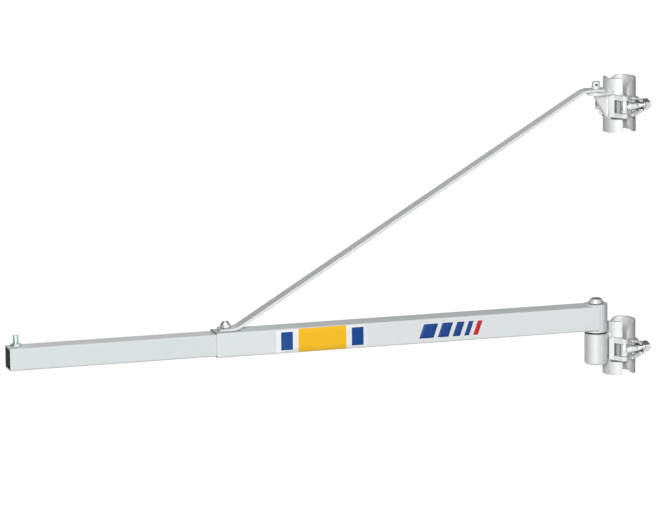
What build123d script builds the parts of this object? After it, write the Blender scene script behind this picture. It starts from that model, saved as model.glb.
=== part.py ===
from build123d import *
import math
import os

# Swivelling, telescopic hoist arm on two hinged pole clamps, in millimetres.
# Origin: pole axis at the middle of the lower clamp. +Z runs up the pole, and the arm
# points along -X at rest.

# Pole, and the half shells that grip it
pole_d = 48.3
grip_clearance = 0.1
shell_wall = 5.9
shell_height = 100.0
shell_edge = 0.8
collar_half_angle = 65.0
collar_corner_r = 6.0
cap_half_angle = 98.6
cap_edge_height = 44.0
cap_wing_back = 19.2
clamp_spacing = 450.0
clamp_turn = 18.4

# Forged brackets and strap around the shells
weld_gap = 0.05
strap_thickness = 5.8
strap_height = 41.0
forged_edge = 1.2
bracket_start_angle = 22.0
bracket_end_angle = 38.0
cap_strap_half_angle = 80.0

# Swing bolt on the front of a clamp, and the hinge behind it
ear_radius = 41.0
ear_angle = 66.0
run_clearance = 0.05
axial_clearance = 0.3
bolt_d = 12.0
bolt_chamfer = 1.2
trunnion_d = 9.0
hub_d = 13.0
hub_height = 23.4
bolt_knuckle_d = 15.0
bolt_reach = 37.5
bolt_tail = 5.5
slot_clearance = 0.6
fork_front = 4.0
fork_front_height = 36.0
fork_shoulder = 10.0
fork_shoulder_height = 31.5
fork_nose_height = 21.0
fork_lip = 8.5
fork_wall = 4.2
fork_corner_r = 2.5
flange_d = 24.0
flange_rim = 1.6
flange_height = 4.5
clamp_nut_af = 20.0
clamp_nut_height = 15.0
hinge_pin_d = 8.0
hinge_head_d = 12.0
hinge_head_height = 2.6
hinge_knuckle_d = 16.0
hinge_height = 24.0
hinge_middle_height = 11.4

# Lower pivot: bracket on the clamp, king pin and bushes
pivot_offset = 53.0
boss_d = 42.0
bracket_boss_height = 57.5
bracket_boss_top = 31.0
boss_edge_r = 4.5
bracket_web_width = 21.0
king_pin_d = 20.0
king_head_d = 26.4
king_head_top_d = 19.6
king_head_height = 8.8
king_head_rim = 2.4
king_recess_d = 31.0
king_recess_depth = 9.0
king_end_gap = 1.0
king_washer_height = 3.0
king_washer_d = 30.0
king_clip_d = 26.0
king_clip_height = 2.0
king_clip_mouth = 12.0
king_groove_depth = 1.2
thrust_washer_height = 2.5
thrust_washer_d = 36.0
bush_wall = 2.5
bush_length = 18.0
seat_clearance = 0.02

# Upper pivot: lug, gusset and stud
lug_top = 27.5
lug_thickness = 6.5
lug_tip_r = 17.0
gusset_thickness = 6.0
gusset_reach = 58.5
gusset_drop = 43.5
tie_pin_d = 16.0
tie_pin_rise = 19.0
tie_pin_chamfer = 1.5
clip_d = 4.0
clip_bore_d = 2.4
clip_length = 24.0
clip_height = 13.5
clip_turn = 56.0

# Arm tube, its boss and the extension inside it
tube_size = 45.0
tube_wall = 2.0
tube_corner_r = 3.0
boss_rise = 2.5
boss_drop = 4.7
mouth_reach = 722.0
tip_reach = 1099.0
inner_size = 40.0
inner_wall = 2.5
inner_corner_r = 3.0
inner_floor_gap = 0.3
inner_overlap = 200.0

# Tie bar and its lower fastening
bar_width = 28.0
bar_thickness = 5.0
bar_edge_r = 0.8
bar_bend_r = 30.0
bar_corner = 2.5
bar_foot_inset = 9.0
bar_head_bend = 24.0
bar_head_end = 15.0
bar_lug_gap = 0.3
foot_stud_inset = 12.5
m10_d = 10.0
m10_af = 17.0
m10_head_height = 6.4
m10_hole_clearance = 0.25
cap_nut_height = 13.0
cap_nut_hex_height = 7.0
cap_nut_dome_d = 15.6
cap_nut_roof = 4.0

# Stop bolt at the tip, and the lock screw behind the mouth
stop_inset = 15.0
stop_rise = 20.7
stop_nut_height = 6.0
lock_inset = 30.0
lock_nut_height = 8.0
lock_grip = 9.0

# Turned corners of hexagon nuts and heads
hex_face_inset = 0.4
hex_chamfer_angle = 30.0

bore_r = pole_d / 2 + grip_clearance
shell_r = bore_r + shell_wall
strap_in_r = shell_r + weld_gap
strap_r = strap_in_r + strap_thickness
bolt_r = bolt_d / 2


def polar(radius, angle):
    """Point at a radius and angle, in plan."""
    turn = math.radians(angle)
    return (radius * math.cos(turn), radius * math.sin(turn))


def band(r_in, r_out, start, end, height, edge):
    """Part of an upright ring between two angles, centred on z = 0, with bevelled outer rims."""
    section = Pos((r_in + r_out) / 2, 0) * Rectangle(r_out - r_in, height)
    section = chamfer(section.vertices().sort_by(Axis.X)[-2:], edge)
    ring = revolve(Plane.XZ * section, Axis.Z, revolution_arc=end - start)
    return Rot(0, 0, start) * ring


def sector(r_in, r_out, start, end):
    """Plan outline of part of a ring between two angles."""
    outer = CenterArc((0, 0), r_out, start, end - start)
    inner = CenterArc((0, 0), r_in, start, end - start)
    return make_face([outer, inner, Line(inner @ 0, outer @ 0), Line(inner @ 1, outer @ 1)])


def upright(sketch, low, high):
    """Plan outline raised from one height to another."""
    return Pos(0, 0, low) * extrude(sketch, high - low, dir=(0, 0, 1))


def post(diameter, low, high):
    """Upright cylinder on the Z axis."""
    return upright(Circle(diameter / 2), low, high)


def side_cut(outline):
    """Side outline in x and z, run through the whole width in y."""
    return extrude(Plane.XZ * outline, 4 * shell_r, both=True)


def link(start, start_r, end, end_r):
    """Plan outline of a tapered arm with round ends."""
    run = Vector(*end) - Vector(*start)
    heading = math.degrees(math.atan2(run.Y, run.X))
    lean = math.degrees(math.acos((start_r - end_r) / run.length))
    far = CenterArc(end, end_r, heading - lean, 2 * lean)
    near = CenterArc(start, start_r, heading + lean, 360 - 2 * lean)
    return make_face([far, near, Line(far @ 1, near @ 0), Line(near @ 1, far @ 0)])


def bevel_rims(piece, edge):
    """Bevels the top and bottom rims of a piece, apart from the arcs that lie on a shell."""
    levels = piece.faces().filter_by(Axis.Z).sort_by(Axis.Z)
    rims = levels[0].outer_wire().edges() + levels[-1].outer_wire().edges()
    free = [rim for rim in rims if math.hypot((rim @ 0.5).X, (rim @ 0.5).Y) > strap_in_r + edge / 2]
    return chamfer(free, edge)


def hexagon(across_flats, height):
    """Hexagon prism standing on z = 0, with the corners of both ends turned off."""
    corner_r = across_flats / math.sqrt(3)
    face_r = across_flats / 2 - hex_face_inset
    drop = (corner_r - face_r) * math.tan(math.radians(hex_chamfer_angle))
    blank = Polygon(
        (0, 0),
        (face_r, 0),
        (corner_r, drop),
        (corner_r, height - drop),
        (face_r, height),
        (0, height),
        align=None,
    )
    prism = extrude(RegularPolygon(across_flats / 2, 6, major_radius=False), height)
    return prism & revolve(Plane.XZ * blank, Axis.Z)


def bolt_shank(diameter, low, high):
    """Upright shank with a bevelled upper end."""
    return chamfer(post(diameter, low, high).edges().sort_by(Axis.Z)[-1], bolt_chamfer)


def square_tube(size, wall, corner_r, start, end):
    """Square tube along X with rounded corners, centred on y = 0 and z = 0."""
    outside = RectangleRounded(size, size, corner_r)
    inside = RectangleRounded(size - 2 * wall, size - 2 * wall, max(corner_r - wall, 0.4))
    return Pos(start, 0, 0) * extrude(Plane.YZ * (outside - inside), end - start)


# Clamp, in its own frame: pole on Z, pivot side on +X, swing bolt on +Y
bolt_pivot = polar(ear_radius, ear_angle)
hinge_pivot = polar(ear_radius, -ear_angle)
strap_mid_r = (strap_in_r + strap_r) / 2
strap_end_r = strap_thickness / 2
strap_half = strap_height / 2
shell_space = Cylinder(shell_r + axial_clearance, 2 * shell_height)
strap_space = Cylinder(strap_in_r, 2 * shell_height)
along_bolt = Pos(*bolt_pivot) * Rot(0, -90, 0)

collar_edge = bore_r * math.cos(math.radians(collar_half_angle))
half = shell_height / 2
collar_side = Polygon(
    (collar_edge, half),
    (collar_edge, -half),
    (2 * shell_r, -half),
    (2 * shell_r, half),
    align=None,
)
collar_side = fillet(collar_side.vertices(), collar_corner_r)
collar_plan = sector(bore_r, shell_r, -collar_half_angle, collar_half_angle)
collar = upright(collar_plan, -half, half) & side_cut(collar_side)

# The free edges of the cap sweep back in an arc to its full height
cap_start = 180 - cap_half_angle
cap_front = shell_r * math.cos(math.radians(cap_start))
wing_back = cap_front - cap_wing_back
wing_low = cap_edge_height / 2
wing_top = TangentArc((cap_front, wing_low), (wing_back, half), tangent=(0, 1))
wing_bottom = TangentArc((cap_front, -wing_low), (wing_back, -half), tangent=(0, -1))
cap_back = Polyline(wing_top @ 1, (-2 * shell_r, half), (-2 * shell_r, -half), wing_bottom @ 1)
cap_side = make_face([wing_top, cap_back, wing_bottom, Line(wing_bottom @ 0, wing_top @ 0)])
cap_shell = band(
    bore_r, shell_r, cap_start, cap_start + 2 * cap_half_angle, shell_height, shell_edge
)
cap_shell &= side_cut(cap_side)

# Front bracket: two cheeks hold the trunnions of the swing bolt
bracket_plan = sector(strap_in_r, strap_r, bracket_start_angle, bracket_end_angle)
bolt_bracket = upright(bracket_plan, -strap_half, strap_half)
bracket_end = polar(strap_mid_r, bracket_end_angle)
cheek = link(bracket_end, strap_end_r, bolt_pivot, bolt_knuckle_d / 2)
cheek -= Circle(strap_in_r)
cheek_low = hub_height / 2 + axial_clearance
bolt_bracket += upright(cheek, cheek_low, strap_half)
bolt_bracket += upright(cheek, -strap_half, -cheek_low)
bolt_bracket = bevel_rims(bolt_bracket, forged_edge)
trunnion_r = trunnion_d / 2
bolt_bracket -= Pos(*bolt_pivot) * Cylinder(trunnion_r + run_clearance, strap_height)

# Rear bracket: one knuckle between the two of the cap
hinge_plan = sector(strap_in_r, strap_r, -bracket_end_angle, -bracket_start_angle)
hinge_bracket = upright(hinge_plan, -strap_half, strap_half)
hinge_bracket = bevel_rims(hinge_bracket, forged_edge)
hinge_root = polar(strap_mid_r, -bracket_end_angle)
hinge_arm = link(hinge_root, strap_end_r, hinge_pivot, hinge_knuckle_d / 2)
hinge_arm -= Circle(strap_in_r)
hinge_bracket += upright(hinge_arm, -hinge_middle_height / 2, hinge_middle_height / 2)
hinge_hole = Pos(*hinge_pivot) * Cylinder(hinge_pin_d / 2 + run_clearance, strap_height)
hinge_bracket -= hinge_hole

# Cap strap: hinge knuckles at one end, an open fork with a round nut seat at the other
strap_start = 180 - cap_strap_half_angle
strap_end = 180 + cap_strap_half_angle
cap_strap = band(strap_in_r, strap_r, strap_start, strap_end, hinge_height, forged_edge)
cap_root = polar(strap_mid_r, strap_end)
cap_arm = link(cap_root, strap_end_r, hinge_pivot, hinge_knuckle_d / 2)
arm_low = hinge_middle_height / 2 + axial_clearance
cap_arms = upright(cap_arm, arm_low, hinge_height / 2)
cap_arms += upright(cap_arm, -hinge_height / 2, -arm_low)
cap_strap += cap_arms - shell_space
cap_strap -= hinge_hole

# Two prongs of the fork close in on an end wall, where the nut sits
fork_end = bolt_pivot[0] - bolt_reach
fork_top = bolt_pivot[1] + fork_lip
fork_plan = Pos(*bolt_pivot) * Circle(bolt_reach - axial_clearance)
fork_plan &= Pos((fork_end + fork_front) / 2, fork_top / 2) * Rectangle(
    fork_front - fork_end, fork_top
)
fork_plan -= Circle(strap_in_r)
fork_side = Polygon(
    (shell_r, fork_front_height / 2),
    (fork_front, fork_front_height / 2),
    (-fork_shoulder, fork_shoulder_height / 2),
    (fork_end, fork_nose_height / 2),
    (fork_end, -fork_nose_height / 2),
    (-fork_shoulder, -fork_shoulder_height / 2),
    (fork_front, -fork_front_height / 2),
    (shell_r, -fork_front_height / 2),
    align=None,
)
fork_hollow = offset(fork_side, -fork_wall)
fork_hollow = fillet(fork_hollow.vertices().sort_by(Axis.X)[:2], fork_corner_r)
fork = upright(fork_plan, -strap_half, strap_half) & side_cut(fork_side)
fork -= side_cut(fork_hollow)
fork = chamfer(fork.faces().sort_by(Axis.Y)[-1].outer_wire().edges(), forged_edge)
cap_strap += fork
slot_r = bolt_r + slot_clearance
slot = Rectangle(2 * slot_r, 4 * slot_r, align=(Align.CENTER, Align.MIN)) + Circle(slot_r)
cap_strap -= along_bolt * extrude(slot, 2 * bolt_reach)
nut_space = extrude(Circle(flange_d / 2 + slot_clearance), 2 * clamp_nut_height)
cap_strap -= along_bolt * Pos(0, 0, bolt_reach - axial_clearance) * nut_space

hinge_r = hinge_pin_d / 2
hinge_head_r = hinge_head_d / 2
pin_seat = hinge_height / 2 + axial_clearance
pin_rim = pin_seat + hinge_head_height / 2
pin_top = pin_seat + hinge_head_height
hinge_profile = Polygon(
    (0, -pin_top),
    (hinge_r, -pin_top),
    (hinge_head_r, -pin_rim),
    (hinge_head_r, -pin_seat),
    (hinge_r, -pin_seat),
    (hinge_r, pin_seat),
    (hinge_head_r, pin_seat),
    (hinge_head_r, pin_rim),
    (hinge_r, pin_top),
    (0, pin_top),
    align=None,
)
hinge_pin = Pos(*hinge_pivot) * revolve(Plane.XZ * hinge_profile, Axis.Z)

bolt_length = bolt_reach + clamp_nut_height + bolt_tail
swing_bolt = along_bolt * bolt_shank(bolt_d, 0, bolt_length)
swing_bolt += Pos(*bolt_pivot) * Cylinder(hub_d / 2, hub_height)
swing_bolt += Pos(*bolt_pivot) * Cylinder(trunnion_r, strap_height)

flange_profile = Polygon(
    (0, 0),
    (flange_d / 2, 0),
    (flange_d / 2, flange_rim),
    (clamp_nut_af / 2, flange_height),
    (0, flange_height),
    align=None,
)
flange_nut = revolve(Plane.XZ * flange_profile, Axis.Z)
flange_nut += hexagon(clamp_nut_af, clamp_nut_height)
flange_nut -= extrude(Circle(bolt_r + run_clearance), clamp_nut_height)
flange_nut = along_bolt * Pos(0, 0, bolt_reach) * flange_nut

# Lower pivot bracket, welded to the fixed half of the lower clamp
pivot_plan = (pivot_offset, 0)
boss_bottom = bracket_boss_top - bracket_boss_height
boss = post(boss_d, boss_bottom, bracket_boss_top)
boss = fillet(boss.edges().filter_by(GeomType.CIRCLE).sort_by(Axis.Z)[0], boss_edge_r)
pivot_bracket = Pos(*pivot_plan) * boss
web = Pos(pivot_offset / 2, 0) * Rectangle(pivot_offset, bracket_web_width)
pivot_bracket += upright(web, boss_bottom + boss_edge_r, bracket_boss_top)
pivot_bracket -= strap_space
king_r = king_pin_d / 2
recess_top = boss_bottom + king_recess_depth
pivot_bracket -= Pos(*pivot_plan) * Cylinder(king_r + seat_clearance, 4 * shell_height)
pivot_bracket -= Pos(*pivot_plan) * post(king_recess_d, boss_bottom, recess_top)

# Upper lug with its gusset, welded to the fixed half of the upper clamp
lug_bottom = lug_top - lug_thickness
lug = Pos(pivot_offset / 2, 0) * Rectangle(pivot_offset, 2 * lug_tip_r)
lug += Pos(*pivot_plan) * Circle(lug_tip_r)
lug_plate = bevel_rims(upright(lug, lug_bottom, lug_top) - strap_space, forged_edge)
lug_plate -= Pos(*pivot_plan) * Cylinder(tie_pin_d / 2 + seat_clearance, 4 * lug_top)
gusset_side = Polygon(
    (0, lug_bottom),
    (gusset_reach, lug_bottom),
    (shell_r, lug_bottom - gusset_drop),
    (0, lug_bottom - gusset_drop),
    align=None,
)
lug_gusset = extrude(Plane.XZ * gusset_side, gusset_thickness / 2, both=True) - strap_space

tie_pin_top = lug_top + tie_pin_rise
tie_pin = post(tie_pin_d, lug_bottom, tie_pin_top)
tie_pin = chamfer(tie_pin.edges().sort_by(Axis.Z)[-1], tie_pin_chamfer)
across_pin = Pos(0, 0, lug_top + clip_height) * Rot(0, 0, clip_turn) * Rot(0, 90, 0)
tie_pin -= across_pin * Cylinder(clip_d / 2 + seat_clearance, 2 * tie_pin_d)
tie_clip = across_pin * (
    Cylinder(clip_d / 2, clip_length) - Cylinder(clip_bore_d / 2, clip_length)
)
tie_pin = Pos(*pivot_plan) * tie_pin
tie_clip = Pos(*pivot_plan) * tie_clip

# King pin on the lower pivot axis, kept in by a washer and a ring in the boss's recess
washer_top = bracket_boss_top + thrust_washer_height
arm_boss_bottom = washer_top + axial_clearance
tube_bottom = arm_boss_bottom + boss_drop
tube_top = tube_bottom + tube_size
arm_boss_top = tube_top + boss_rise
head_bottom = arm_boss_top + axial_clearance
head_top = head_bottom + king_head_height
king_bottom = boss_bottom + king_end_gap
clip_top = recess_top - king_washer_height
clip_bottom = clip_top - king_clip_height
groove_r = king_r - king_groove_depth
king_profile = Polygon(
    (0, king_bottom),
    (king_r, king_bottom),
    (king_r, clip_bottom - seat_clearance),
    (groove_r, clip_bottom - seat_clearance),
    (groove_r, clip_top),
    (king_r, clip_top),
    (king_r, head_bottom),
    (king_head_d / 2, head_bottom),
    (king_head_d / 2, head_bottom + king_head_rim),
    (king_head_top_d / 2, head_top),
    (0, head_top),
    align=None,
)
king_pin = revolve(Plane.XZ * king_profile, Axis.Z)
ring = Circle(king_clip_d / 2) - Circle(groove_r + seat_clearance)
ring -= Pos(king_clip_d / 2, 0) * Rectangle(king_clip_d, king_clip_mouth)
king_clip = upright(ring, clip_bottom, clip_top)
king_hole = Cylinder(king_r + seat_clearance, 4 * shell_height)
thrust_washer = post(thrust_washer_d, bracket_boss_top, washer_top) - king_hole
king_washer = post(king_washer_d, clip_top, recess_top) - king_hole

# Arm, with the pivot axis on Z: boss, bushes and coped square tube
bush_r = king_r + run_clearance + bush_wall
arm_boss = post(boss_d, arm_boss_bottom, arm_boss_top)
arm_boss = chamfer(arm_boss.edges().filter_by(GeomType.CIRCLE), shell_edge)
arm_boss -= Cylinder(bush_r + seat_clearance, 4 * shell_height)
bush = post(2 * bush_r, 0, bush_length) - Cylinder(king_r + run_clearance, 4 * bush_length)
bush_lower = Pos(0, 0, arm_boss_bottom) * bush
bush_upper = Pos(0, 0, arm_boss_top - bush_length) * bush
tube_axis = Pos(0, 0, tube_bottom + tube_size / 2)
arm_tube = tube_axis * square_tube(tube_size, tube_wall, tube_corner_r, -mouth_reach, 0)
arm_tube -= Cylinder(boss_d / 2 + weld_gap, 4 * shell_height)

# Tie bar: one flat bar, bent at the foot on the tube and at the head on the lug. The foot
# stays flat as far as the corners of its nut, and the bend starts behind them.
bar_foot_end = mouth_reach - bar_foot_inset
bar_foot_z = tube_top + bar_thickness / 2
bar_head_z = clamp_spacing + lug_top + bar_lug_gap + bar_thickness / 2
foot_x = -bar_foot_end + foot_stud_inset
bar_slope = math.atan2(bar_head_z - bar_foot_z, -bar_head_bend - foot_x)
nut_corner_r = m10_af / math.sqrt(3)
foot_bend_x = foot_x + nut_corner_r + axial_clearance + bar_bend_r * math.tan(bar_slope / 2)
bar_line = FilletPolyline(
    (-bar_foot_end, 0, bar_foot_z),
    (foot_bend_x, 0, bar_foot_z),
    (-bar_head_bend, 0, bar_head_z),
    (bar_head_end, 0, bar_head_z),
    radius=bar_bend_r,
)
bar_section = Plane(bar_line @ 0, x_dir=(0, 1, 0), z_dir=(1, 0, 0))
tie_bar = sweep(bar_section * RectangleRounded(bar_width, bar_thickness, bar_edge_r), bar_line)
bar_length = bar_foot_end + bar_head_end
bar_plan = Rectangle(bar_length, bar_width + 2 * bar_corner)
bar_plan = chamfer(bar_plan.vertices(), 2 * bar_corner)
bar_middle = Pos((bar_head_end - bar_foot_end) / 2, 0)
tie_bar &= bar_middle * upright(bar_plan, 0, 2 * bar_head_z)
m10_r = m10_d / 2
hole_r = m10_r + m10_hole_clearance
tie_bar -= Pos(foot_x, 0, bar_foot_z) * Cylinder(hole_r, 4 * bar_thickness)
tie_bar -= Pos(0, 0, bar_head_z) * Cylinder(tie_pin_d / 2 + run_clearance, 4 * bar_thickness)

# Weld stud on the tube and the cap nut that holds the foot down
nut_seat = tube_top + bar_thickness
stud_top = nut_seat + cap_nut_height - cap_nut_roof
foot_stud = Pos(foot_x, 0) * post(m10_d, tube_top, stud_top)
dome_r = cap_nut_dome_d / 2
dome_height = cap_nut_height - cap_nut_hex_height
ball_r = (dome_r**2 + dome_height**2) / (2 * dome_height)
dome = Pos(0, 0, cap_nut_height - ball_r) * Sphere(ball_r)
dome &= post(cap_nut_dome_d, cap_nut_hex_height, cap_nut_height)
cap_nut = hexagon(m10_af, cap_nut_hex_height) + dome
cap_nut -= post(m10_d + 2 * seat_clearance, 0, cap_nut_height - cap_nut_roof)
cap_nut = Pos(foot_x, 0, nut_seat) * cap_nut

# Lock screw with its weld nut, on the rear side of the tube
lock_x = -mouth_reach + lock_inset
tube_side = tube_size / 2
on_side = Pos(lock_x, tube_side, tube_bottom + tube_size / 2) * Rot(-90, 0, 0)
screw_point = inner_size / 2 + axial_clearance - tube_side
lock_nut = hexagon(m10_af, lock_nut_height)
lock_nut -= post(m10_d + 2 * seat_clearance, 0, lock_nut_height)
lock_nut = on_side * lock_nut
lock_head = lock_nut_height + lock_grip
lock_screw = post(m10_d, screw_point, lock_head)
lock_screw += Pos(0, 0, lock_head) * hexagon(m10_af, m10_head_height)
lock_screw = on_side * lock_screw
arm_tube -= on_side * post(m10_d + 2 * seat_clearance, -2 * tube_wall, tube_wall)

# Extension tube, resting just above the floor of the arm tube, with its stop bolt
inner_bottom = tube_bottom + tube_wall + inner_floor_gap
inner_top = inner_bottom + inner_size
inner_axis = Pos(0, 0, inner_bottom + inner_size / 2)
extension_tube = inner_axis * square_tube(
    inner_size, inner_wall, inner_corner_r, -tip_reach, inner_overlap - mouth_reach
)
stop_x = -tip_reach + stop_inset
extension_tube -= Pos(stop_x, 0, inner_top) * Cylinder(hole_r, 4 * inner_wall)
stop_seat = inner_top - inner_wall
stop_bolt = bolt_shank(m10_d, stop_seat, inner_top + stop_rise)
stop_bolt += Pos(0, 0, stop_seat - m10_head_height) * hexagon(m10_af, m10_head_height)
stop_bolt = Pos(stop_x, 0) * stop_bolt
stop_nut = hexagon(m10_af, stop_nut_height)
stop_nut -= post(m10_d + 2 * seat_clearance, 0, stop_nut_height)
stop_nut = Pos(stop_x, 0, inner_top) * stop_nut

# Assembly: clamps turned about the pole, arm on the pivot axis
turned = Rot(0, 0, 180 + clamp_turn)
upper = Pos(0, 0, clamp_spacing) * turned
pivot_x, pivot_y = polar(pivot_offset, 180 + clamp_turn)
on_pivot = Pos(pivot_x, pivot_y, 0)

clamp_pieces = {
    "collar": collar,
    "bolt_bracket": bolt_bracket,
    "hinge_bracket": hinge_bracket,
    "hinge_pin": hinge_pin,
    "cap_shell": cap_shell,
    "cap_strap": cap_strap,
    "swing_bolt": swing_bolt,
    "flange_nut": flange_nut,
}
nodes = {}
for name, piece in clamp_pieces.items():
    nodes["lower_" + name] = turned * piece
    nodes["upper_" + name] = upper * piece
nodes["pivot_bracket"] = turned * pivot_bracket
nodes["lug_plate"] = upper * lug_plate
nodes["lug_gusset"] = upper * lug_gusset
nodes["tie_pin"] = upper * tie_pin
nodes["tie_clip"] = upper * tie_clip
nodes["king_pin"] = on_pivot * king_pin
nodes["king_clip"] = on_pivot * king_clip
nodes["king_washer"] = on_pivot * king_washer
nodes["thrust_washer"] = on_pivot * thrust_washer
nodes["arm_boss"] = on_pivot * arm_boss
nodes["bush_lower"] = on_pivot * bush_lower
nodes["bush_upper"] = on_pivot * bush_upper
nodes["arm_tube"] = on_pivot * arm_tube
nodes["tie_bar"] = on_pivot * tie_bar
nodes["foot_stud"] = on_pivot * foot_stud
nodes["cap_nut"] = on_pivot * cap_nut
nodes["lock_nut"] = on_pivot * lock_nut
nodes["lock_screw"] = on_pivot * lock_screw
nodes["extension_tube"] = on_pivot * extension_tube
nodes["stop_bolt"] = on_pivot * stop_bolt
nodes["stop_nut"] = on_pivot * stop_nut

os.makedirs("parts", exist_ok=True)
for name, piece in nodes.items():
    export_step(piece, f"parts/{name}.step")
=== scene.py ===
import math

import bpy
import numpy as np
from mathutils import Matrix, Vector


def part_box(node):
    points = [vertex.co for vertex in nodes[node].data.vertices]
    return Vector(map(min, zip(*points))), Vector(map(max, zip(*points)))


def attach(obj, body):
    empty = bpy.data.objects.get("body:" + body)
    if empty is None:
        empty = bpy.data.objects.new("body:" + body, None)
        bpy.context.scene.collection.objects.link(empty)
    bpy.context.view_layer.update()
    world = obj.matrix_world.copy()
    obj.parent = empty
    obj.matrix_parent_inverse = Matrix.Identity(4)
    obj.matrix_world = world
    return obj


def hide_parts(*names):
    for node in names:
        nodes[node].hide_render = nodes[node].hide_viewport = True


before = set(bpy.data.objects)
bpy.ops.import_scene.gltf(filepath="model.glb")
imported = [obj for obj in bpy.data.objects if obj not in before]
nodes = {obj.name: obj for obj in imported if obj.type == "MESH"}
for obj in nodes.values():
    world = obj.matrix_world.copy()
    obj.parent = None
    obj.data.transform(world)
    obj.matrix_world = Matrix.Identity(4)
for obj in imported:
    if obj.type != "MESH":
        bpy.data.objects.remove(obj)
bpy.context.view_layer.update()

# Fixed half shells of the two clamps: thick steel pressed to a half round, with rounded
# corners, under pale silver paint. The pivot bracket and the tie lug are welded to them.
mm = 0.001
even = (1.0, 1.0, 1.0)
pale_silver = (0.76, 0.77, 0.77, 1.0)
silver_shade = (0.73, 0.74, 0.74, 1.0)
bare_edge = (0.86, 0.87, 0.88, 1.0)
painted_crevice_shade = (0.07, 0.07, 0.067, 1.0)
paint_sheen = 0.05
crevice_shade_reach = 5 * mm
edge_round = 0.6 * mm
clamp_turn = math.radians(198.4)
clamp_levels = {"lower": 0.0, "upper": 450 * mm}
shell_r = 30.15 * mm


def place(tree, kind, **sockets):
    """Adds one shader node and sets its inputs by name, with spaces written as underscores."""
    node = tree.nodes.new(kind)
    for name, value in sockets.items():
        node.inputs[name.replace("_", " ")].default_value = value
    return node


def make_group(name, inputs, outputs):
    """Empty shader node group with named float or vector inputs and float outputs."""
    group = bpy.data.node_groups.new(name, "ShaderNodeTree")
    for label, value in inputs.items():
        kind = "NodeSocketVector" if isinstance(value, tuple) else "NodeSocketFloat"
        socket = group.interface.new_socket(label, in_out="INPUT", socket_type=kind)
        socket.default_value = value
    for label in outputs:
        group.interface.new_socket(label, in_out="OUTPUT", socket_type="NodeSocketFloat")
    start = group.nodes.new("NodeGroupInput")
    end = group.nodes.new("NodeGroupOutput")
    return group, start, end


def use_group(tree, group):
    """Puts a shared node group into a material."""
    node = tree.nodes.new("ShaderNodeGroup")
    node.node_tree = group
    return node


def spread(tree, value, low, high, to_low=0.0, to_high=1.0):
    """Stretches a value between two limits to a new range, and clips it there."""
    limits = {"From_Min": low, "From_Max": high, "To_Min": to_low, "To_Max": to_high}
    node = place(tree, "ShaderNodeMapRange", **limits)
    tree.links.new(value, node.inputs["Value"])
    return node.outputs["Result"]


def maths(tree, operation, first, second=0.0):
    """Joins two values, or a value and a number, by one arithmetic step."""
    node = tree.nodes.new("ShaderNodeMath")
    node.operation = operation
    tree.links.new(first, node.inputs[0])
    if isinstance(second, (int, float)):
        node.inputs[1].default_value = second
    else:
        tree.links.new(second, node.inputs[1])
    return node.outputs[0]


def overlap(tree, mask, *others):
    """Where several masks meet: their product."""
    for other in others:
        mask = maths(tree, "MULTIPLY", mask, other)
    return mask


def blend(tree, mask, under, over):
    """Lays one colour over another by a mask. Each colour is fixed or comes from another node."""
    node = tree.nodes.new("ShaderNodeMix")
    node.data_type = "RGBA"
    factor_socket, under_socket, over_socket, result_socket = 0, 6, 7, 2
    tree.links.new(mask, node.inputs[factor_socket])
    for colour, socket in ((under, under_socket), (over, over_socket)):
        if isinstance(colour, tuple):
            node.inputs[socket].default_value = colour
        else:
            tree.links.new(colour, node.inputs[socket])
    return node.outputs[result_socket]


# Uneven tone of a coat: slow clouds, fine lines drawn along one direction, small flecks.
grain, grain_in, grain_out = make_group(
    "coat_grain",
    {"Stretch": even, "Cloud Scale": 18.0, "Line Scale": 900.0, "Fleck Scale": 700.0},
    ["Cloud", "Lines", "Flecks"],
)
where = place(grain, "ShaderNodeTexCoord").outputs["Object"]
drawn = place(grain, "ShaderNodeMapping")
grain.links.new(where, drawn.inputs["Vector"])
grain.links.new(grain_in.outputs["Stretch"], drawn.inputs["Scale"])
for output, scale, spot, detail, rough, limits in (
    ("Cloud", "Cloud Scale", where, 4.0, 0.6, (0.3, 0.7)),
    ("Lines", "Line Scale", drawn.outputs["Vector"], 2.0, 0.5, (0.25, 0.75)),
    ("Flecks", "Fleck Scale", where, 3.0, 0.7, (0.3, 0.7)),
):
    noise = place(grain, "ShaderNodeTexNoise", Detail=detail, Roughness=rough)
    grain.links.new(grain_in.outputs[scale], noise.inputs["Scale"])
    grain.links.new(spot, noise.inputs["Vector"])
    grain.links.new(spread(grain, noise.outputs["Fac"], *limits), grain_out.inputs[output])

# Rubbed edges: the rounded normal leaves the true one near an edge, broken up by noise.
rubbed, rubbed_in, rubbed_out = make_group("rubbed_edge", {"Width": 1.0 * mm}, ["Edge"])
rounded = place(rubbed, "ShaderNodeBevel")
rounded.samples = 4
rubbed.links.new(rubbed_in.outputs["Width"], rounded.inputs["Radius"])
true_face = place(rubbed, "ShaderNodeNewGeometry")
agreement = rubbed.nodes.new("ShaderNodeVectorMath")
agreement.operation = "DOT_PRODUCT"
rubbed.links.new(rounded.outputs["Normal"], agreement.inputs[0])
rubbed.links.new(true_face.outputs["Normal"], agreement.inputs[1])
edge_noise = place(rubbed, "ShaderNodeTexNoise", Scale=160.0, Detail=3.0)
edge_place = place(rubbed, "ShaderNodeTexCoord")
rubbed.links.new(edge_place.outputs["Object"], edge_noise.inputs["Vector"])
flat_agreement, edge_agreement = 0.995, 0.86
near_edge = spread(rubbed, agreement.outputs["Value"], flat_agreement, edge_agreement)
noise_low, noise_high = 0.35, 0.62
broken = spread(rubbed, edge_noise.outputs["Fac"], noise_low, noise_high)
rubbed.links.new(overlap(rubbed, near_edge, broken), rubbed_out.inputs["Edge"])


def cover(material, mask, colour):
    """Lays a second colour over a material's own, where a mask is one."""
    tree = material.node_tree
    base = tree.nodes["Principled BSDF"].inputs["Base Color"]
    tree.links.new(blend(tree, mask, base.links[0].from_socket, colour), base)


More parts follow.
